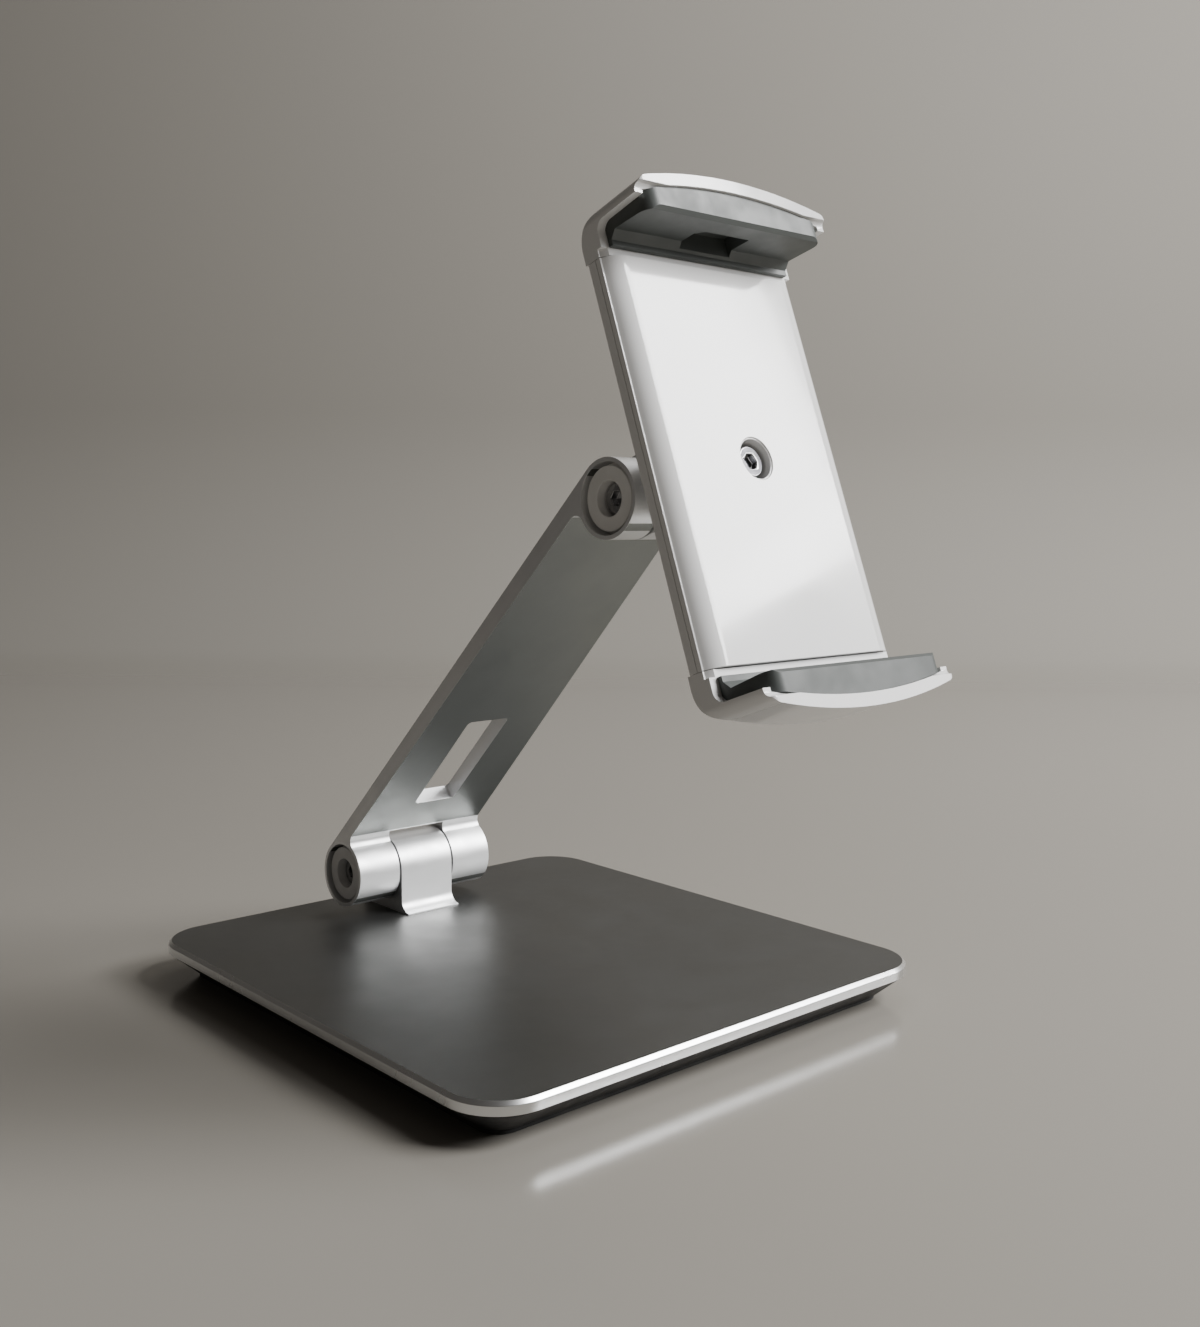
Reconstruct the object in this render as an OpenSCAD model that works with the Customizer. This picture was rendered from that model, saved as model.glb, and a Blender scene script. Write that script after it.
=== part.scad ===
// Tablet stand: weighted base, two-hinge arm, and a swivelling spring-jaw holder.
// Millimetres. X runs left to right, -Y is the user's side, Z is up, and the desk is z = 0.

/* [Base] */
// width of the base plate, left to right
base_w = 172; // [160:1:190]
// depth of the base plate, front to rear
base_d = 180; // [170:1:200]
// corner radius of the base plate
base_corner_r = 16; // [12:1:20]
// thickness of the metal base plate
plate_t = 3.6; // [3.2:0.1:4.5]
// chamfer round the base plate's top edge
plate_chamfer = 1; // [0.5:0.1:1.5]
// height of the base plate's top above the desk
base_h = 12.3; // [12:0.1:15]
// thickness of the rubber pad under the base
desk_pad_t = 1.5; // [1:0.1:2]
// how far the tray's wall slopes in from top to bottom
tray_taper = 8; // [6:0.5:8]

/* [Hinges] */
// distance of the lower hinge behind the middle of the base
hinge_y = 68.7; // [60:0.1:72]
// height of the lower hinge's axis above the desk
hinge_z = 26.8; // [26:0.1:32]
// radius of every hinge barrel
barrel_r = 11.2; // [11:0.1:12]
// width of the middle knuckle of each hinge
knuckle_w = 21; // [19:0.1:21]
// width of the notch in the arm round each knuckle
notch_w = 22.4; // [22.4:0.1:22.8]
// shank radius of the pivot bolts and of the swivel screw
bolt_r = 2.5; // [2.5:0.1:2.5]

/* [Arm] */
// distance between the arm's two hinge axes
arm_len = 179.4; // [160:0.1:200]
// angle of the arm above the desk, leaning to the front
arm_angle = 45.3; // [45:0.1:60]
// width of the arm at the lower hinge
arm_w_low = 54.4; // [52:0.1:58]
// width of the arm at the upper hinge
arm_w_top = 42; // [42:0.1:46]
// thickness of the arm's flat web
web_t = 5.2; // [4.5:0.1:6]
// width of the cable slot
slot_w = 16.2; // [12:0.1:18]
// lower end of the cable slot, from the lower hinge's axis
slot_low = 28.2; // [24:0.1:32]
// upper end of the cable slot, from the lower hinge's axis
slot_high = 72.6; // [60:0.1:80]

/* [Holder] */
// backward lean of the holder
lean = 20.5; // [10:0.5:25]
// width of the holder and of its jaws
holder_w = 72; // [72:0.5:76]
// height of the covers, from one jaw's seam to the other's
cover_h = 108; // [106:1:110]
// drop of the swivel axis below the upper hinge's axis
swivel_drop = 2.4; // [0:0.1:3]
// distance of the holder's back from the upper hinge's axis
back_n = 28.3; // [28:0.1:30]
// thickness of the closed holder, front to back
holder_t = 8.3; // [8.3:0.1:8.5]
// radius of the soft long edges of the front cover
edge_r = 8; // [6:0.5:10]
// radius of the round recess over the swivel screw
recess_r = 5.5; // [5.4:0.1:6.5]

/* [Jaws] */
// height of each jaw's arched crown above the holder's middle
crown_h = 70.5; // [70:0.1:73]
// radius of the arched outside of a jaw
crown_r = 150; // [140:1:180]
// radius of the jaw's rounded back corner
heel_r = 8; // [6:0.1:8.2]
// thickness of the jaw's front rim
rim_t = 3.4; // [2.8:0.1:3.6]
// depth of a jaw in front of the cover's face
jaw_reach = 16; // [14:0.1:18]
// height of the pad's gripping face above the holder's middle
grip_h = 59.7; // [59:0.1:60.5]
// travel of each jaw
jaw_travel = 53; // [45:1:53]

/* [Hidden] */
$fn = 64;
// clearances: between still parts, between touching parts, and round the bolts
gap = 0.15;
slip = 0.05;
hole_r = bolt_r + 0.08;
// socket screws and nuts of the hinges
head_r = 4.25;
head_h = 3.6;
hex_af = 4;
nut_af = 8;
nut_h = 4.8;
// nylon inserts: how far their faces sit inside the barrels, the screw heads inside them, the ring gap
sink = 1;
head_sink = 2.8;
insert_r = 10;
face_r = 8.95;
groove_t = 3;
well_r = 4.9;
washer_t = 0.6;
notch_s = barrel_r + 1.7;
fillet_r = 3;
slot_corner_r = 1.5;
// base, and its screws
tray_top = base_h - plate_t;
tray_floor = desk_pad_t + 1.5;
tray_inset = 0.8;
tray_wall = 2.4;
base_screw_x = base_w / 2 - 18;
base_screw_y = base_d / 2 - 18;
base_screw_r = 1.5;
base_head_r = 2.9;
base_head_h = 1.8;
boss_r = 4.6;
bracket_screw_x = 5.5;
bracket_head_h = 2.6;
screw_bite = 9;
flare_r = 4;
// the upper hinge's axis
axle_y = hinge_y - arm_len * cos(arm_angle);
axle_z = hinge_z + arm_len * sin(arm_angle);
// covers
face_n = back_n + holder_t;
seam_n = back_n + 3.6;
back_wall = 2.2;
front_wall = 2.3;
cavity_lo = back_n + back_wall;
cavity_hi = face_n - front_wall;
half_w = holder_w / 2;
half_h = cover_h / 2;
band_n = seam_n + 1.6;
ledge = 0.5;
flat_u = half_w - ledge - sqrt(pow(edge_r, 2) - pow(edge_r - face_n + band_n, 2));
side_t = 2.6;
inner_rib_u = 13.9;
outer_rib_u = 24.3;
rib_t = 1;
cover_screw_u = 8;
cover_screw_v = 36;
cover_screw_r = 1;
cover_head_r = 2.1;
post_seat = 1.4;
// tilt knuckle and swivel, by distance in front of the upper hinge's axis
flange_r = 19;
flange_t = 4.8;
flange_n = back_n - 1 - flange_t;
nut_n = flange_n - nut_h - 0.8;
floor_n = back_n + 2.6;
front_washer_t = 0.5;
head_n = floor_n + front_washer_t + 2 * slip;
swivel_head_h = 3;
// jaw rails, the springs beside them, and the posts and pegs that hold the springs
rail_w = 8.4;
rail_lo = cavity_lo + 0.7;
rail_hi = cavity_hi - 0.6;
upper_rail_u = 29.1;
lower_rail_u = 19.1;
rail_end = 48;
rail_slot_w = 4.2;
post_v = 51;
peg_v = jaw_travel - 40;
post_r = 1.2;
spring_r = 1.6;
spring_wire_r = 0.35;
mid_n = (cavity_lo + cavity_hi) / 2;
// jaws
rim_n = face_n + jaw_reach;
wall_u = 2.6;
pocket_n = 1.5;
pocket_rise = 20;
strip_v = half_h + 2.1;
nose_r = 2;
crown_corner_r = 4;
crease = 0.02;
pad_corner_r = 4.5;
pad_gap = 0.1;
grip_drop = 1;
wall_v = grip_h + 3;

metal = [0.78, 0.79, 0.8];
steel = [0.6, 0.6, 0.62];
chrome = [0.85, 0.85, 0.87];
black = [0.06, 0.06, 0.06];
white = [0.93, 0.93, 0.92];
nylon = [0.75, 0.74, 0.71];
grey = [0.42, 0.44, 0.43];

// ---- frames: the arm's own frame is (x, o, s), the holder's is (u, -n, v) ----

module in_arm() {
  translate([0, hinge_y, hinge_z]) rotate([90 - arm_angle, 0, 0]) children();
}

module in_holder() {
  translate([0, axle_y, axle_z]) rotate([-lean, 0, 0]) translate([0, 0, -swivel_drop]) children();
}

// extrudes a (u, v) outline from depth n0 to n1 in the holder's frame
module along_n(n0, n1) {
  translate([0, -n0, 0]) rotate([90, 0, 0]) linear_extrude(n1 - n0) children();
}

// extrudes an (n, v) outline from u0 to u1 in the holder's frame
module along_u(u0, u1) {
  translate([u0, 0, 0]) rotate([90, 0, 90]) linear_extrude(u1 - u0) mirror([1, 0]) children();
}

// extrudes a (u, n) outline from v0 to v1 in the holder's frame
module along_v(v0, v1) {
  translate([0, 0, v0]) linear_extrude(v1 - v0) mirror([0, 1]) children();
}

// extrudes a (y, z) outline from x0 to x1
module along_x(x0, x1) {
  translate([x0, 0, 0]) rotate([90, 0, 90]) linear_extrude(x1 - x0) children();
}

module rod_x(x0, x1, r) {
  translate([x0, 0, 0]) rotate([0, 90, 0]) cylinder(h = x1 - x0, r = r);
}

module rod_n(n0, n1, r) {
  translate([0, -n0, 0]) rotate([90, 0, 0]) cylinder(h = n1 - n0, r = r);
}

module box2(x0, y0, x1, y1) {
  translate([x0, y0]) square([x1 - x0, y1 - y0]);
}

module rounded(w, d, r) {
  square([w - 2 * r, d], center = true);
  square([w, d - 2 * r], center = true);
  for (x = [-1, 1]) for (y = [-1, 1]) translate([x * (w / 2 - r), y * (d / 2 - r)]) circle(r);
}

module hexagon(af) {
  circle(r = af / 2 / cos(30), $fn = 6);
}

module at_base_screws() {
  for (x = [-1, 1]) for (y = [-1, 1]) translate([x * base_screw_x, y * base_screw_y, 0]) children();
}

module at_bracket_screws() {
  for (x = [-1, 1]) translate([x * bracket_screw_x, hinge_y, 0]) children();
}

// ---- base ----

module base_plate() {
  color(metal) difference() {
    hull() {
      translate([0, 0, tray_top]) linear_extrude(plate_t - plate_chamfer)
        rounded(base_w, base_d, base_corner_r);
      translate([0, 0, tray_top]) linear_extrude(plate_t)
        rounded(base_w - 2 * plate_chamfer, base_d - 2 * plate_chamfer, base_corner_r - plate_chamfer);
    }
    at_base_screws() translate([0, 0, tray_top - 1]) cylinder(h = 3.6, r = base_screw_r + slip);
    at_bracket_screws() translate([0, 0, tray_top - 1]) cylinder(h = plate_t + 2, r = hole_r);
  }
}

module base_tray() {
  low = tray_inset + tray_taper;
  color(black) difference() {
    union() {
      difference() {
        hull() {
          translate([0, 0, tray_top - 0.5]) linear_extrude(0.5 - slip)
            rounded(base_w - 2 * tray_inset, base_d - 2 * tray_inset, base_corner_r - tray_inset);
          translate([0, 0, desk_pad_t]) linear_extrude(0.5)
            rounded(base_w - 2 * low, base_d - 2 * low, base_corner_r - low);
        }
        translate([0, 0, tray_floor]) linear_extrude(tray_top)
          rounded(base_w - 2 * (low + tray_wall), base_d - 2 * (low + tray_wall), boss_r);
      }
      at_base_screws() translate([0, 0, desk_pad_t]) cylinder(h = tray_top - slip - desk_pad_t, r = boss_r);
    }
    at_base_screws() translate([0, 0, desk_pad_t - 1]) cylinder(h = tray_top, r = base_screw_r + slip);
    at_base_screws() translate([0, 0, desk_pad_t - 1]) cylinder(h = base_head_h + 1.2, r = base_head_r + 0.2);
  }
}

module ballast_plate() {
  margin = tray_inset + tray_taper + tray_wall + 0.5;
  color(steel) difference() {
    translate([0, 0, tray_floor + slip]) linear_extrude(tray_top - tray_floor - 0.5)
      rounded(base_w - 2 * margin, base_d - 2 * margin, boss_r);
    at_base_screws() translate([0, 0, tray_floor - 1]) cylinder(h = tray_top, r = boss_r + 0.5);
    translate([0, hinge_y, tray_floor - 1]) linear_extrude(tray_top) square([24, 13], center = true);
  }
}

module desk_pad() {
  low = tray_inset + tray_taper + 0.7;
  color(black) linear_extrude(desk_pad_t - slip)
    rounded(base_w - 2 * low, base_d - 2 * low, base_corner_r - low);
}

module base_screws() {
  color(steel) at_base_screws() difference() {
    union() {
      translate([0, 0, desk_pad_t + 0.1]) cylinder(h = base_head_h, r = base_head_r);
      translate([0, 0, desk_pad_t + 0.2]) cylinder(h = tray_top + 2 - desk_pad_t, r = base_screw_r);
    }
    translate([0, 0, desk_pad_t]) linear_extrude(1.2) hexagon(2);
  }
}

module bracket_screws() {
  color(steel) at_bracket_screws() difference() {
    union() {
      translate([0, 0, tray_top - bracket_head_h - slip]) cylinder(h = bracket_head_h, r = head_r);
      translate([0, 0, tray_top - 1]) cylinder(h = 1 + plate_t + screw_bite - 0.5, r = bolt_r);
    }
    translate([0, 0, tray_top - bracket_head_h - 1]) linear_extrude(2.6) hexagon(3);
  }
}

module hinge_bracket() {
  toe = 0.6;
  foot = barrel_r + flare_r;
  color(metal) difference() {
    along_x(-knuckle_w / 2, knuckle_w / 2) difference() {
      union() {
        translate([hinge_y, hinge_z]) circle(barrel_r);
        box2(hinge_y - barrel_r, base_h, hinge_y + barrel_r, hinge_z);
        box2(hinge_y - foot, base_h, hinge_y + foot, base_h + toe + flare_r);
      }
      for (s = [-1, 1]) translate([hinge_y + s * foot, base_h + toe + flare_r]) circle(flare_r);
    }
    translate([0, hinge_y, hinge_z]) rod_x(-knuckle_w, knuckle_w, hole_r);
    at_bracket_screws() translate([0, 0, base_h - 1]) cylinder(h = 1 + screw_bite, r = hole_r);
  }
}

// ---- arm ----

// fillet where the front of a barrel meets the web
module barrel_fillet() {
  inner = barrel_r - web_t;
  fillet_o = inner - fillet_r;
  fillet_s = sqrt(pow(barrel_r + fillet_r, 2) - pow(fillet_o, 2));
  along_x(-arm_w_low, arm_w_low) polygon(concat([[inner + 1, 1], [1, 1], [fillet_o - 0.1, barrel_r - 0.6]],
    [for (a = [85:-17:17]) [fillet_o + fillet_r * cos(a), fillet_s - fillet_r * sin(a)]],
    [[inner + 0.4, fillet_s + 0.3], [inner + 1, fillet_s]]));
}

module arm() {
  reach = barrel_r + 1;
  slope = (arm_w_low - arm_w_top) / 2 / arm_len;
  low_x = arm_w_low / 2 + slope * reach;
  top_x = arm_w_top / 2 - slope * reach;
  color(metal) in_arm() difference() {
    intersection() {
      union() {
        for (s = [0, arm_len]) translate([0, 0, s]) rod_x(-arm_w_low, arm_w_low, barrel_r);
        translate([-arm_w_low, barrel_r - web_t, 0]) cube([2 * arm_w_low, web_t, arm_len]);
        barrel_fillet();
        translate([0, 0, arm_len]) mirror([0, 0, 1]) barrel_fillet();
      }
      translate([0, reach, 0]) rotate([90, 0, 0]) linear_extrude(2 * reach)
        polygon([[-low_x, -reach], [low_x, -reach], [top_x, arm_len + reach], [-top_x, arm_len + reach]]);
    }
    for (s = [0, arm_len]) translate([0, 0, s]) rod_x(-arm_w_low, arm_w_low, insert_r + slip);
    for (s = [-2 * reach, arm_len - notch_s])
      translate([-notch_w / 2, -2 * reach, s]) cube([notch_w, 4 * reach, notch_s + 2 * reach]);
    translate([0, 2 * reach, (slot_low + slot_high) / 2]) rotate([90, 0, 0]) linear_extrude(4 * reach)
      rounded(slot_w, slot_high - slot_low, slot_corner_r);
  }
}

// one nylon insert, drawn on the right side: face at x = w / 2 - sink
module bushing(w) {
  face = w / 2 - sink;
  color(nylon) difference() {
    union() {
      rod_x(notch_w / 2 + slip, face - groove_t, insert_r);
      rod_x(notch_w / 2 + slip, face, face_r);
    }
    rod_x(0, w, hole_r);
    rod_x(face - head_sink - head_h, w, well_r);
  }
}

module pivot_bolt(w) {
  face = w / 2 - sink;
  seat = face - head_sink - head_h;
  color(chrome) difference() {
    union() {
      rod_x(-seat - head_h, -seat, head_r);
      rod_x(-seat - 1, face - 1, bolt_r);
    }
    translate([-seat - head_h - 1, 0, 0]) rotate([90, 0, 90]) linear_extrude(3.2) hexagon(hex_af);
  }
}

module pivot_nut(w) {
  seat = w / 2 - sink - head_sink - head_h;
  color(steel) difference() {
    translate([seat + slip, 0, 0]) rotate([90, 0, 90]) linear_extrude(nut_h) hexagon(nut_af);
    rod_x(0, w, bolt_r + slip);
  }
}

module hinge_washers() {
  mid = (knuckle_w / 2 + notch_w / 2) / 2;
  color(black) for (s = [-1, 1]) difference() {
    rod_x(s * mid - washer_t / 2, s * mid + washer_t / 2, barrel_r - 0.8);
    rod_x(-notch_w, notch_w, hole_r + 0.1);
  }
}

module at_lower() {
  translate([0, hinge_y, hinge_z]) children();
}

module at_upper() {
  translate([0, axle_y, axle_z]) children();
}

module lower_left_bushing() {
  at_lower() mirror([1, 0, 0]) bushing(arm_w_low);
}

module lower_right_bushing() {
  at_lower() bushing(arm_w_low);
}

module upper_left_bushing() {
  at_upper() mirror([1, 0, 0]) bushing(arm_w_top);
}

module upper_right_bushing() {
  at_upper() bushing(arm_w_top);
}

module lower_pivot_bolt() {
  at_lower() pivot_bolt(arm_w_low);
}

module upper_pivot_bolt() {
  at_upper() pivot_bolt(arm_w_top);
}

module lower_pivot_nut() {
  at_lower() pivot_nut(arm_w_low);
}

module upper_pivot_nut() {
  at_upper() pivot_nut(arm_w_top);
}

module lower_washers() {
  at_lower() hinge_washers();
}

module upper_washers() {
  at_upper() hinge_washers();
}

// ---- tilt knuckle and swivel ----

module tilt_knuckle() {
  color(metal) in_holder() difference() {
    union() {
      along_u(-knuckle_w / 2, knuckle_w / 2) {
        translate([0, swivel_drop]) circle(barrel_r);
        box2(0, swivel_drop - barrel_r, flange_n + 1, swivel_drop + barrel_r);
      }
      rod_n(flange_n, flange_n + flange_t, flange_r);
    }
    translate([0, 0, swivel_drop]) rod_x(-knuckle_w, knuckle_w, hole_r);
    rod_n(nut_n - 4, back_n, hole_r);
    along_n(nut_n, nut_n + nut_h + 0.2) {
      hexagon(nut_af + 0.2);
      box2(-nut_af / 2 - 0.1, 0, nut_af / 2 + 0.1, 2 * barrel_r);
    }
  }
}

module swivel_rear_washer() {
  color(black) in_holder() difference() {
    rod_n(back_n - 1 + slip, back_n - slip, flange_r - 1.5);
    rod_n(0, back_n + 1, hole_r + 0.2);
  }
}

module swivel_front_washer() {
  color(black) in_holder() difference() {
    rod_n(floor_n + slip, floor_n + slip + front_washer_t, recess_r - 0.5);
    rod_n(0, face_n, hole_r + 0.1);
  }
}

module swivel_screw() {
  color(chrome) in_holder() difference() {
    union() {
      rod_n(head_n, head_n + swivel_head_h, head_r);
      rod_n(nut_n - 2, head_n + 1, bolt_r);
    }
    along_n(head_n + 1, face_n) hexagon(hex_af);
  }
}

module swivel_nut() {
  color(steel) in_holder() difference() {
    along_n(nut_n + 0.1, nut_n + 0.1 + nut_h) hexagon(nut_af);
    rod_n(0, back_n, bolt_r + slip);
  }
}

// ---- holder covers ----

module at_cover_screws() {
  for (u = [-1, 1]) for (v = [-1, 1]) translate([u * cover_screw_u, 0, v * cover_screw_v]) children();
}

module at_posts(u, v) {
  for (s = [-1, 1]) translate([s * u, 0, v]) children();
}

module back_cover() {
  soft_r = 1.5;
  color(white) in_holder() difference() {
    union() {
      difference() {
        along_v(-half_h, half_h) {
          box2(-half_w, back_n + soft_r, half_w, seam_n - gap);
          box2(-half_w + soft_r, back_n, half_w - soft_r, back_n + 2 * soft_r);
          for (s = [-1, 1]) translate([s * (half_w - soft_r), back_n + soft_r]) circle(soft_r);
        }
        along_v(-half_h - 1, half_h + 1) box2(-half_w + side_t, cavity_lo, half_w - side_t, face_n);
      }
      rod_n(back_n + 1, floor_n, recess_r + 2);
      for (u = [-outer_rib_u, -inner_rib_u, inner_rib_u, outer_rib_u])
        along_v(-half_h + 2, half_h - 2) box2(u - rib_t / 2, cavity_lo - 1, u + rib_t / 2, rail_hi);
    }
    rod_n(0, face_n, hole_r);
    at_cover_screws() rod_n(0, face_n, cover_screw_r + 0.3);
    at_cover_screws() rod_n(0, back_n + 1.2, cover_head_r + 0.2);
    at_posts(upper_rail_u, -post_v) rod_n(cavity_lo - post_seat, face_n, post_r);
    at_posts(lower_rail_u, post_v) rod_n(cavity_lo - post_seat, face_n, post_r);
  }
}

// section of the front cover: a straight band, a small ledge, and soft edges up to the flat face
module cover_outline() {
  box2(-half_w, seam_n, half_w, band_n);
  intersection() {
    box2(-half_w + ledge, seam_n + 0.5, half_w - ledge, face_n + 1);
    union() {
      box2(-flat_u, seam_n, flat_u, face_n);
      for (s = [-1, 1]) translate([s * flat_u, face_n - edge_r]) circle(edge_r);
    }
  }
}

module front_cover() {
  lip = 0.4;
  boss = cover_screw_r + 2;
  end_rib_u = 13;
  color(white) in_holder() difference() {
    union() {
      difference() {
        along_v(-half_h, half_h) cover_outline();
        along_v(-half_h - 1, half_h + 1) box2(-half_w + side_t, back_n, half_w - side_t, cavity_hi);
      }
      rod_n(floor_n + gap, face_n - 1, recess_r + 1.6);
      at_cover_screws() rod_n(cavity_lo + gap, face_n - 1, boss);
      for (s = [-1, 1]) along_v(s * (half_h - 1) - 1, s * (half_h - 1) + 1)
        box2(-end_rib_u, cavity_lo + gap, end_rib_u, face_n - 1);
    }
    rod_n(back_n, face_n + 1, recess_r);
    rod_n(face_n - lip, face_n + 1, recess_r + lip);
    at_cover_screws() rod_n(cavity_lo - 1, face_n - 1.6, cover_screw_r + slip);
  }
}

module cover_screws() {
  color(steel) in_holder() at_cover_screws() difference() {
    union() {
      rod_n(back_n + 0.1, back_n + 1.15, cover_head_r);
      rod_n(back_n + 1, face_n - 2, cover_screw_r);
    }
    along_n(back_n - 1, back_n + 0.8) hexagon(1.5);
  }
}

module spring_posts() {
  color(steel) in_holder() {
    at_posts(upper_rail_u, -post_v) rod_n(cavity_lo - post_seat, cavity_hi - 0.3, post_r);
    at_posts(lower_rail_u, post_v) rod_n(cavity_lo - post_seat, cavity_hi - 0.3, post_r);
  }
}

// ---- jaws, drawn as the upper one: the lower one is its mirror image ----

// outline of the jaw's rounded ends seen from the front; the turned shell cuts its top to an arch
module crown_ends() {
  corner_u = half_w - crown_corner_r;
  corner_v = crown_h - crown_r + sqrt(pow(crown_r - crown_corner_r, 2) - pow(corner_u, 2)) + crease;
  box2(-half_w, half_h + gap, half_w, corner_v);
  box2(-corner_u, half_h + gap, corner_u, crown_h + 1);
  for (s = [-1, 1]) translate([s * corner_u, corner_v]) circle(crown_corner_r);
}

// ring about the centre of the arch, with the jaw's rounded back corner
module crown_shell() {
  inner_r = crown_r - 2 * crown_corner_r - (crown_h - half_h);
  translate([0, 0, crown_h - crown_r]) rotate([90, 0, 0]) rotate_extrude($fn = 360) {
    box2(inner_r, back_n, crown_r - heel_r, rim_n + 1);
    box2(inner_r, back_n + heel_r, crown_r, rim_n + 1);
    translate([crown_r - heel_r, back_n + heel_r]) circle(heel_r, $fn = 64);
  }
}

// space under the jaw's side walls, which are set back from the pad's gripping face
module wall_cut() {
  foot_n = face_n - 1.5;
  bend_r = 3;
  tip_n = rim_n - 2;
  tip_r = 1.6;
  box2(face_n, 0, rim_n + 1, strip_v);
  box2(foot_n, 0, rim_n + 1, wall_v - bend_r);
  box2(foot_n + bend_r, 0, rim_n + 1, wall_v);
  translate([foot_n + bend_r, wall_v - bend_r]) circle(bend_r);
  box2(tip_n, 0, rim_n + 1, wall_v + 0.8);
  box2(tip_n + tip_r, 0, rim_n + 1, wall_v + 0.8 + tip_r);
  translate([tip_n + tip_r, wall_v + 0.8]) circle(tip_r);
}

module jaw_plan() {
  box2(-half_w, back_n - 1, half_w, rim_n - nose_r);
  box2(-half_w + nose_r, back_n, half_w - nose_r, rim_n);
  for (s = [-1, 1]) translate([s * (half_w - nose_r), rim_n - nose_r]) circle(nose_r);
}

module rails(u) {
  for (s = [-1, 1]) difference() {
    along_v(-rail_end, half_h + 3) box2(s * u - rail_w / 2, rail_lo, s * u + rail_w / 2, rail_hi);
    along_v(-rail_end - 1, -peg_v - 4) box2(s * u - rail_slot_w / 2, 0, s * u + rail_slot_w / 2, face_n);
    along_v(-rail_end - 1, -peg_v + 3) box2(s * u - rail_slot_w / 2, rail_lo + 0.7, s * u + rail_slot_w / 2,
      face_n);
  }
  at_posts(u, -peg_v) rod_n(rail_lo, rail_hi, post_r);
}

module jaw_body(u) {
  difference() {
    intersection() {
      along_n(back_n - 1, rim_n + 1) crown_ends();
      crown_shell();
      along_v(0, crown_h + 1) jaw_plan();
    }
    along_u(-half_w - 1, half_w + 1) wall_cut();
    along_v(0, strip_v) difference() {
      box2(-half_w - 1, seam_n + 0.2, half_w + 1, rim_n + 1);
      cover_outline();
    }
    intersection() {
      along_n(face_n - pocket_n, rim_n + 1) translate([0, -rim_t]) pocket_outline();
      along_v(strip_v, crown_h) box2(-half_w + wall_u, face_n - pocket_n, half_w - wall_u, rim_n + 1);
    }
  }
  rails(u);
}

// inside of the shell over the pad
module pocket_outline() {
  intersection() {
    box2(-half_w + wall_u, 0, half_w - wall_u, crown_h);
    translate([0, crown_h - crown_r - pocket_rise]) circle(crown_r + pocket_rise, $fn = 360);
  }
}

module pad_body() {
  in_u = half_w - wall_u - pad_gap;
  front_n = rim_n - 0.8;
  lip_v = grip_h - grip_drop;
  relief_u = 9.5;
  relief_n = face_n + 8.5;
  difference() {
    intersection() {
      along_n(face_n - pocket_n + pad_gap, front_n) translate([0, -rim_t - pad_gap]) pocket_outline();
      along_u(-in_u, in_u) difference() {
        box2(face_n - pocket_n, strip_v + pad_gap, front_n, crown_h);
        polygon([[face_n, 0], [face_n, grip_h - 2], [face_n + 2, grip_h], [front_n - 1, lip_v],
          [front_n + 1, lip_v + 2], [front_n + 1, 0]]);
      }
      along_v(0, crown_h) {
        box2(-in_u, 0, in_u, front_n - pad_corner_r);
        box2(-in_u + pad_corner_r, 0, in_u - pad_corner_r, front_n);
        for (s = [-1, 1]) translate([s * (in_u - pad_corner_r), front_n - pad_corner_r]) circle(pad_corner_r);
      }
    }
    along_v(0, grip_h + 4) polygon([[-relief_u, face_n + 0.6], [relief_u, face_n + 0.6],
      [relief_u, relief_n], [-relief_u + 2.5, relief_n], [-relief_u, relief_n - 2]]);
  }
}

// tension spring from the jaw's peg to the holder's post
module spring_at(u) {
  hook = 4;
  top = -peg_v - hook;
  low = -post_v + hook;
  turns = 24;
  pitch = (top - low) / turns;
  ring_r = post_r + 0.2 + spring_wire_r;
  translate([u, -mid_n, 0]) {
    translate([0, 0, low]) rotate_extrude() polygon(concat([[spring_r - 0.7, 0]],
      [for (i = [0:turns - 1]) each [[spring_r - 0.25, i * pitch], [spring_r, (i + 0.5) * pitch]]],
      [[spring_r - 0.25, turns * pitch], [spring_r - 0.7, turns * pitch]]));
    translate([0, 0, top - 1]) cylinder(h = hook + 1 - ring_r, r = spring_wire_r);
    translate([0, 0, low - hook + ring_r]) cylinder(h = hook + 1 - ring_r, r = spring_wire_r);
    for (v = [top - 1, low]) translate([0, 0, v]) cylinder(h = 1, r = spring_r - 0.4);
    for (v = [-peg_v, -post_v]) translate([0, 0, v]) rotate([90, 0, 0])
      rotate_extrude() translate([ring_r, 0]) circle(spring_wire_r);
  }
}

module upper_jaw() {
  color(white) in_holder() jaw_body(upper_rail_u);
}

module upper_jaw_pad() {
  color(grey) in_holder() pad_body();
}

module upper_jaw_springs() {
  color(steel) in_holder() for (s = [-1, 1]) spring_at(s * upper_rail_u);
}

module lower_jaw() {
  color(white) in_holder() mirror([0, 0, 1]) jaw_body(lower_rail_u);
}

module lower_jaw_pad() {
  color(grey) in_holder() mirror([0, 0, 1]) pad_body();
}

module lower_jaw_springs() {
  color(steel) in_holder() mirror([0, 0, 1]) for (s = [-1, 1]) spring_at(s * lower_rail_u);
}

base_plate();
base_tray();
ballast_plate();
desk_pad();
base_screws();
hinge_bracket();
bracket_screws();
arm();
lower_left_bushing();
lower_right_bushing();
upper_left_bushing();
upper_right_bushing();
lower_pivot_bolt();
upper_pivot_bolt();
lower_pivot_nut();
upper_pivot_nut();
lower_washers();
upper_washers();
tilt_knuckle();
swivel_rear_washer();
swivel_front_washer();
swivel_screw();
swivel_nut();
back_cover();
front_cover();
cover_screws();
spring_posts();
upper_jaw();
upper_jaw_pad();
upper_jaw_springs();
lower_jaw();
lower_jaw_pad();
lower_jaw_springs();
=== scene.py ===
"""Looks of the tablet stand: satin alloy base and arm, glossy white holder, grey rubber grips."""

import math

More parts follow.
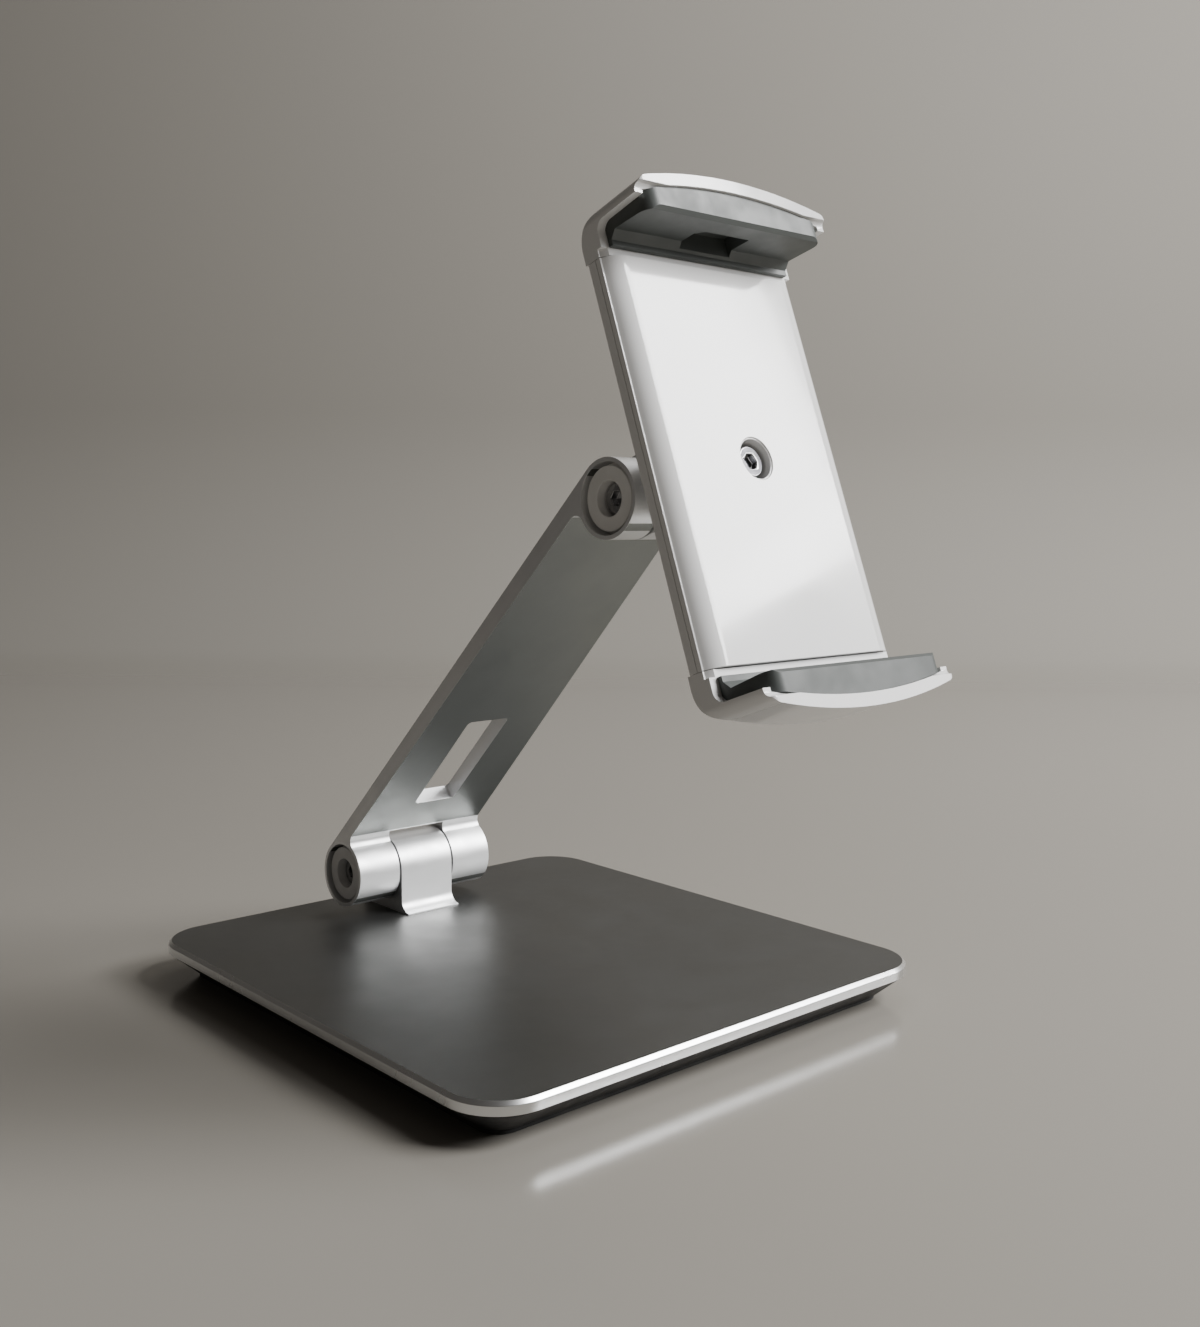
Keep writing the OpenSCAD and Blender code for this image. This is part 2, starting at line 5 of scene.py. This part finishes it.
import bmesh
import bpy
from mathutils import Matrix, Vector


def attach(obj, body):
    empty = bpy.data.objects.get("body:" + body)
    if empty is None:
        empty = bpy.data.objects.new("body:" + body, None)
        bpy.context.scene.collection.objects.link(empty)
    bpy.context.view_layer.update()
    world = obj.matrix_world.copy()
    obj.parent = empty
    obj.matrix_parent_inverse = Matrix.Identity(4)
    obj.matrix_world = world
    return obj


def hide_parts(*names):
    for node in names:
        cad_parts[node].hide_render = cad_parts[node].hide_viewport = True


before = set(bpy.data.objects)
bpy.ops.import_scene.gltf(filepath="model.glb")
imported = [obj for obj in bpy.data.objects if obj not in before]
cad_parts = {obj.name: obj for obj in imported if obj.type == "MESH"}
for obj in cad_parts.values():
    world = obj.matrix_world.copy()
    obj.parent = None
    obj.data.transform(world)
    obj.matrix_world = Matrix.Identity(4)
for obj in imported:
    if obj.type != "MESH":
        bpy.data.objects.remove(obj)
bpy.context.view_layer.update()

MM = 0.001


# ---- materials ----


# Each finish: its colour, how metallic it is, the colour it drifts towards as (colour, scale, amount), its
# roughness as (low, high, scale), and its layers of grain as (scale, height, strength). A scale is one over
# the size of the pattern, which like a height is in metres.
FINISHES = {
    "satin_base": ((0.155, 0.156, 0.153), 1.0, ((0.145, 0.146, 0.143), 14, 1.0), (0.41, 0.47, 60),
                   ((5200, 0.00003, 0.35), (380, 0.00002, 0.10))),
    "cut_edge": ((0.90, 0.905, 0.91), 1.0, ((0.87, 0.875, 0.88), 25, 1.0), (0.27, 0.31, 60),
                 ((5200, 0.00001, 0.1),)),
    # painted shade: the arm's face towards the user, the same alloy as bright_alloy but darkened to stand
    # for the shade it sits in
    "painted_shade_alloy": ((0.29, 0.302, 0.292), 1.0, ((0.27, 0.282, 0.272), 22, 1.0), (0.40, 0.48, 80),
                    ((5200, 0.00003, 0.35),)),
    "bright_alloy": ((0.90, 0.905, 0.91), 0.94, ((0.86, 0.865, 0.87), 30, 1.0), (0.42, 0.50, 120),
                     ((5200, 0.00002, 0.28),)),
    "chrome": ((0.42, 0.42, 0.43), 1.0, None, (0.14, 0.26, 300), ((2600, 0.00001, 0.04),)),
    # painted shade: the swivel screw head's face, the same screw as the chrome, darkened as shade in its
    # recess in place of the chrome's reflection
    "painted_shade_steel": ((0.07, 0.07, 0.075), 1.0, None, (0.28, 0.42, 400), ((2600, 0.00001, 0.1),)),
    "zinc": ((0.62, 0.62, 0.63), 1.0, ((0.50, 0.51, 0.52), 260, 1.0), (0.26, 0.42, 500),
             ((3000, 0.00002, 0.2),)),
    "tray_black": ((0.018, 0.018, 0.019), 0.0, ((0.03, 0.03, 0.031), 50, 1.0), (0.42, 0.60, 220),
                   ((1700, 0.00006, 0.5),)),
    "desk_rubber": ((0.025, 0.025, 0.026), 0.0, ((0.05, 0.049, 0.047), 70, 1.0), (0.7, 0.9, 160),
                    ((900, 0.00008, 0.6),)),
    "cast_steel": ((0.16, 0.16, 0.165), 0.6, ((0.22, 0.20, 0.18), 60, 1.0), (0.45, 0.65, 120),
                   ((700, 0.0001, 0.5),)),
    "washer": ((0.03, 0.03, 0.031), 0.0, None, (0.34, 0.5, 300), ((1500, 0.00003, 0.3),)),
    "nylon": ((0.86, 0.85, 0.83), 0.0, ((0.80, 0.79, 0.77), 160, 1.0), (0.36, 0.5, 240),
              ((1200, 0.00003, 0.3),)),
    "gloss_white": ((0.86, 0.855, 0.85), 0.0, ((0.84, 0.835, 0.825), 12, 0.7), (0.07, 0.14, 35),
                    ((150, 0.00006, 0.05), (2400, 0.00001, 0.06))),
    "grip_grey": ((0.062, 0.069, 0.066), 0.0, ((0.072, 0.080, 0.076), 45, 1.0), (0.40, 0.54, 130),
                  ((2200, 0.00004, 0.35),)),
}
LACQUERED = "gloss_white"
LACQUER = {"Coat Weight": 0.25, "Coat Roughness": 0.04}
COLOUR_DETAIL = 3.0
GRAIN_DETAIL = 2.0


class Finish:
    """A principled material, with short calls for the procedural detail it is given."""

    def __init__(self, name, colour, metallic=0.0):
        self.material = bpy.data.materials.new(name)
        self.material.use_nodes = True
        self.tree = self.material.node_tree
        self.shader = self.tree.nodes["Principled BSDF"]
        self.colour = (*colour, 1.0)
        self.set("Base Color", self.colour)
        self.set("Metallic", metallic)
        self.coords = self.tree.nodes.new("ShaderNodeTexCoord").outputs["Object"]
        self.normal_out = None

    def set(self, socket, value):
        self.shader.inputs[socket].default_value = value

    def node(self, kind, **inputs):
        made = self.tree.nodes.new(kind)
        for key, value in inputs.items():
            made.inputs[key].default_value = value
        return made

    def link(self, out, into):
        self.tree.links.new(out, into)

    def noise(self, scale, detail):
        made = self.node("ShaderNodeTexNoise", Scale=scale, Detail=detail)
        self.link(self.coords, made.inputs["Vector"])
        return made.outputs["Fac"]

    def spread(self, value, low, high, start=0.35, end=0.65):
        """Maps a value from start..end to low..high."""
        made = self.tree.nodes.new("ShaderNodeMapRange")
        for key, number in (("From Min", start), ("From Max", end), ("To Min", low), ("To Max", high)):
            made.inputs[key].default_value = number
        self.link(value, made.inputs["Value"])
        return made.outputs["Result"]

    def vary(self, colour, scale, amount):
        """Drifts the colour slowly towards another."""
        mix = self.tree.nodes.new("ShaderNodeMix")
        mix.data_type = "RGBA"
        mix.inputs["A"].default_value = self.colour
        mix.inputs["B"].default_value = (*colour, 1.0)
        self.link(self.spread(self.noise(scale, COLOUR_DETAIL), 0.0, amount), mix.inputs["Factor"])
        self.link(mix.outputs["Result"], self.shader.inputs["Base Color"])

    def rough(self, low, high, scale):
        value = self.spread(self.noise(scale, COLOUR_DETAIL), low, high)
        self.link(value, self.shader.inputs["Roughness"])

    def bump(self, scale, height, strength):
        """Raises the surface, over what has been raised so far."""
        made = self.node("ShaderNodeBump", Strength=strength, Distance=height)
        self.link(self.noise(scale, GRAIN_DETAIL), made.inputs["Height"])
        if self.normal_out:
            self.link(self.normal_out, made.inputs["Normal"])
        self.normal_out = made.outputs["Normal"]
        self.link(self.normal_out, self.shader.inputs["Normal"])


def build_material(name, colour, metallic, drift, roughness, grain):
    finish = Finish(name, colour, metallic)
    if drift:
        finish.vary(*drift)
    finish.rough(*roughness)
    for layer in grain:
        finish.bump(*layer)
    if name == LACQUERED:
        for socket, value in LACQUER.items():
            finish.set(socket, value)
    return finish.material


MATERIALS = {name: build_material(name, *recipe) for name, recipe in FINISHES.items()}


# ---- pieces made from the frame ----


WELD = 0.002 * MM
FLAT = math.radians(0.2)
SHARP = math.radians(28)
ROUNDING_STEPS = 2
NORMAL_WEIGHT = 90


def linked(name):
    """A new empty object in the scene."""
    thing = bpy.data.objects.new(name, bpy.data.meshes.new(name))
    bpy.context.scene.collection.objects.link(thing)
    return thing


def cleaned(node, name):
    """A copy of a CAD node's mesh as a new object, with flat faces made whole again."""
    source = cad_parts[node]
    piece = linked(name)
    bm = bmesh.new()
    bm.from_mesh(source.data)
    bmesh.ops.transform(bm, matrix=source.matrix_world, verts=bm.verts)
    bmesh.ops.remove_doubles(bm, verts=bm.verts, dist=WELD)
    bmesh.ops.dissolve_limit(bm, angle_limit=FLAT, verts=bm.verts, edges=bm.edges, delimit={"NORMAL"})
    bmesh.ops.recalc_face_normals(bm, faces=bm.faces)
    for face in bm.faces:
        face.smooth = True
    for layer in list(bm.loops.layers.uv):
        bm.loops.layers.uv.remove(layer)
    bm.to_mesh(piece.data)
    bm.free()
    return piece


def applied(piece):
    """Turns the piece's modifiers into its mesh."""
    graph = bpy.context.evaluated_depsgraph_get()
    mesh = bpy.data.meshes.new_from_object(piece.evaluated_get(graph), preserve_all_data_layers=False)
    piece.modifiers.clear()
    piece.data = mesh
    return piece


def outline(half_w, half_d, radius, steps=14):
    """Points of a rounded rectangle, going round from the right."""
    points = []
    for quarter, (x, y) in enumerate(((1, 1), (-1, 1), (-1, -1), (1, -1))):
        for step in range(steps + 1):
            turn = math.pi / 2 * (quarter + step / steps)
            points.append((x * (half_w - radius) + radius * math.cos(turn),
                           y * (half_d - radius) + radius * math.sin(turn)))
    return points


PLATE_CORNER = 16.0
# section of the base plate's rim: how far in from its side, and height from its underside, in mm
PLATE_RIM = ((0.15, 0.0), (0.0, 0.15), (0.0, 2.5), (0.03, 2.6), (0.10, 2.7), (0.92, 3.52), (1.02, 3.58),
             (1.12, 3.6))


def plate(node, name):
    """The base plate as clean rings, filling the CAD node's own box."""
    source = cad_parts[node]
    corners = [source.matrix_world @ Vector(corner) for corner in source.bound_box]
    half_w, half_d = max(c.x for c in corners), max(c.y for c in corners)
    foot = min(c.z for c in corners)
    bm = bmesh.new()
    rings = []
    for inset, height in PLATE_RIM:
        line = outline(half_w - inset * MM, half_d - inset * MM, (PLATE_CORNER - inset) * MM)
        rings.append([bm.verts.new((x, y, foot + height * MM)) for x, y in line])
    for below, above in zip(rings, rings[1:]):
        for index, corner in enumerate(below):
            after = (index + 1) % len(below)
            bm.faces.new((corner, below[after], above[after], above[index]))
    bm.faces.new(reversed(rings[0]))
    bm.faces.new(rings[-1])
    for face in bm.faces:
        face.smooth = True
    piece = linked(name)
    bm.to_mesh(piece.data)
    bm.free()
    return piece


def finished(node, body, material, slot, bevel, edge=None):
    """A node's surface with its sharp edges rounded, standing for the node itself."""
    piece = (plate if node == "base_plate" else cleaned)(node, f"{node}_finished")
    piece.data.materials.clear()
    for key in (material, edge or material):
        piece.data.materials.append(MATERIALS[key])
    for face in piece.data.polygons:
        face.material_index = 0
    if bevel:
        rounding = piece.modifiers.new("rounding", "BEVEL")
        rounding.width = bevel * MM
        rounding.segments = ROUNDING_STEPS
        rounding.limit_method = "ANGLE"
        rounding.angle_limit = SHARP
        rounding.miter_outer = "MITER_ARC"
        rounding.use_clamp_overlap = True
        rounding.material = 1
    even = piece.modifiers.new("even", "WEIGHTED_NORMAL")
    even.mode = "FACE_AREA_WITH_ANGLE"
    even.weight = NORMAL_WEIGHT
    even.keep_sharp = True
    applied(piece)
    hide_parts(node)
    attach(piece, body)
    return piece


# nodes redrawn as pieces: body, material, slot, edge rounding in mm, and the rounded edges' own material
SURFACES = {
    "base_plate": ("base", "cut_edge", "base_metal", 0.0),
    "base_tray": ("base", "tray_black", "tray_plastic", 0.3),
    "desk_pad": ("base", "desk_rubber", "desk_rubber", 0.2),
    "hinge_bracket": ("base", "bright_alloy", "bright_metal", 0.35),
    "arm": ("arm", "bright_alloy", "arm_metal", 0.35, "cut_edge"),
    "lower_left_bushing": ("arm", "nylon", "insert_nylon", 0.3),
    "lower_right_bushing": ("arm", "nylon", "insert_nylon", 0.3),
    "upper_left_bushing": ("arm", "nylon", "insert_nylon", 0.3),
    "upper_right_bushing": ("arm", "nylon", "insert_nylon", 0.3),
    "lower_pivot_bolt": ("arm", "chrome", "bolt_chrome", 0.2),
    "upper_pivot_bolt": ("arm", "chrome", "bolt_chrome", 0.2),
    "lower_pivot_nut": ("arm", "zinc", "screw_steel", 0.2),
    "upper_pivot_nut": ("arm", "zinc", "screw_steel", 0.2),
    "tilt_knuckle": ("tilt_head", "bright_alloy", "bright_metal", 0.35),
    "swivel_screw": ("tilt_head", "chrome", "bolt_chrome", 0.45),
    "back_cover": ("holder", "gloss_white", "white_plastic", 0.25),
    "front_cover": ("holder", "gloss_white", "white_plastic", 0.3),
    "upper_jaw": ("upper_jaw", "gloss_white", "white_plastic", 0.6),
    "upper_jaw_pad": ("upper_jaw", "grip_grey", "grip_rubber", 0.9),
    "lower_jaw": ("lower_jaw", "gloss_white", "white_plastic", 0.6),
    "lower_jaw_pad": ("lower_jaw", "grip_grey", "grip_rubber", 0.9),
}
# nodes that are shown as they are, with the material of each
PLAIN = {
    "ballast_plate": "cast_steel",
    "base_screws": "zinc",
    "bracket_screws": "zinc",
    "lower_washers": "washer",
    "upper_washers": "washer",
    "swivel_rear_washer": "washer",
    "swivel_front_washer": "washer",
    "swivel_nut": "zinc",
    "cover_screws": "zinc",
    "spring_posts": "zinc",
    "upper_jaw_springs": "zinc",
    "lower_jaw_springs": "zinc",
}

# flat faces that get a material of their own, by the way they face, how closely, and the material: the
# base's top its own finish, the arm's side towards the user darkened as painted shade, and the swivel
# screw's head darkened as painted shade
FACES = {
    "base_plate": ((0.0, 0.0, 1.0), 0.95, "satin_base"),
    # painted shade: the arm's face towards the user is the same bright alloy, darkened here for the shade it
    # lies in
    "arm": ((0.0, -0.7108, -0.7034), 0.995, "painted_shade_alloy"),
    # painted shade: the screw head's face darkened in place of the chrome's reflection
    "swivel_screw": ((0.0, -0.9367, 0.3502), 0.995, "painted_shade_steel"),
}


def finish_or_painted_shade(piece, facing, least, material):
    """Gives the faces turned towards `facing` a material of their own: a finish, or a painted shade."""
    piece.data.materials.append(MATERIALS[material])
    own = len(piece.data.materials) - 1
    for face in piece.data.polygons:
        if face.normal.dot(Vector(facing)) > least:
            face.material_index = own


for node, choices in SURFACES.items():
    made = finished(node, *choices)
    if node in FACES:
        finish_or_painted_shade(made, *FACES[node])
for node, material in PLAIN.items():
    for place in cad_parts[node].material_slots:
        place.material = MATERIALS[material]


# ---- studio ----


AZIMUTH = math.radians(-41.89)
ELEVATION = math.radians(5.19)
ROLL = math.radians(0.41)
CAMERA_PLACE = (-0.274, -0.3375, 0.1511)
LENS = 37.82
SENSOR = 36.0
SHIFT_Y = -0.02
ROOM_COLOUR = (0.78, 0.72, 0.66, 1.0)
ROOM_STRENGTH = 0.08
STAND = (0, -0.05, 0.13)
# each light's place, what it is turned to, its width and height, and its power in watts
LIGHTS = {
    "window": ((0.95, -1.0, 1.15), STAND, 0.8, 0.9, 62),
    "glare": ((0.98, -0.79, 0.45), (0, -0.09, 0.13), 0.28, 0.45, 2),
    "ceiling": ((0.6, 0.25, 1.1), STAND, 0.9, 0.6, 2),
}


def backdrop_material():
    """Plain stone grey: softly polished where it is floor, matt where it rises into the wall."""
    floor_rough, wall_rough, rise = 0.18, 0.8, 0.02
    finish = Finish("backdrop", (0.28, 0.263, 0.234))
    height = finish.tree.nodes.new("ShaderNodeSeparateXYZ")
    finish.link(finish.coords, height.inputs["Vector"])
    value = finish.spread(height.outputs["Z"], floor_rough, wall_rough, 0.0, rise)
    finish.link(value, finish.shader.inputs["Roughness"])
    finish.bump(600, 0.00004, 0.04)
    return finish.material


def build_backdrop():
    """A floor that curves up into a wall behind the stand, square to the camera."""
    depth, bend, height, width, near, steps = 0.75, 0.25, 2.2, 4.0, -1.6, 16
    rows = [(near, 0.0), (depth, 0.0)]
    for step in range(1, steps + 1):
        turn = math.pi / 2 * step / steps
        rows.append((depth + bend * math.sin(turn), bend * (1 - math.cos(turn))))
    rows.append((depth + bend, height))
    away = Vector((-math.sin(AZIMUTH), math.cos(AZIMUTH), 0.0))
    side = Vector((away.y, -away.x, 0.0))
    bm = bmesh.new()
    lines = [[bm.verts.new(away * y + side * x + Vector((0, 0, z))) for x in (-width / 2, width / 2)]
             for y, z in rows]
    for near_line, far_line in zip(lines, lines[1:]):
        bm.faces.new((near_line[0], near_line[1], far_line[1], far_line[0])).smooth = True
    backdrop = linked("backdrop")
    bm.to_mesh(backdrop.data)
    bm.free()
    backdrop.data.materials.append(backdrop_material())


def aim(thing, target):
    back = (thing.location - Vector(target)).normalized()
    thing.rotation_mode = "QUATERNION"
    thing.rotation_quaternion = (-back).to_track_quat("-Z", "Y")


def soft_light(name, place, target, width, height, power):
    data = bpy.data.lights.new(name, "AREA")
    data.shape = "RECTANGLE"
    data.size, data.size_y = width, height
    data.energy = power
    light = bpy.data.objects.new(name, data)
    light.location = place
    aim(light, target)
    bpy.context.scene.collection.objects.link(light)


def build_camera():
    data = bpy.data.cameras.new("camera")
    data.sensor_width = SENSOR
    data.lens = LENS
    data.shift_y = SHIFT_Y
    camera = bpy.data.objects.new("camera", data)
    bpy.context.scene.collection.objects.link(camera)
    back = Vector((math.sin(AZIMUTH) * math.cos(ELEVATION), -math.cos(AZIMUTH) * math.cos(ELEVATION),
                   math.sin(ELEVATION)))
    right = Vector((0, 0, 1)).cross(back).normalized()
    up = back.cross(right)
    turned = Matrix((right * math.cos(ROLL) + up * math.sin(ROLL),
                     up * math.cos(ROLL) - right * math.sin(ROLL), back)).transposed()
    camera.rotation_mode = "QUATERNION"
    camera.rotation_quaternion = turned.to_quaternion()
    camera.location = CAMERA_PLACE
    bpy.context.scene.camera = camera


def build_lights():
    world = bpy.data.worlds.new("studio")
    bpy.context.scene.world = world
    world.use_nodes = True
    room = world.node_tree.nodes["Background"].inputs
    room["Color"].default_value = ROOM_COLOUR
    room["Strength"].default_value = ROOM_STRENGTH
    for name, settings in LIGHTS.items():
        soft_light(name, *settings)


build_backdrop()
build_camera()
build_lights()
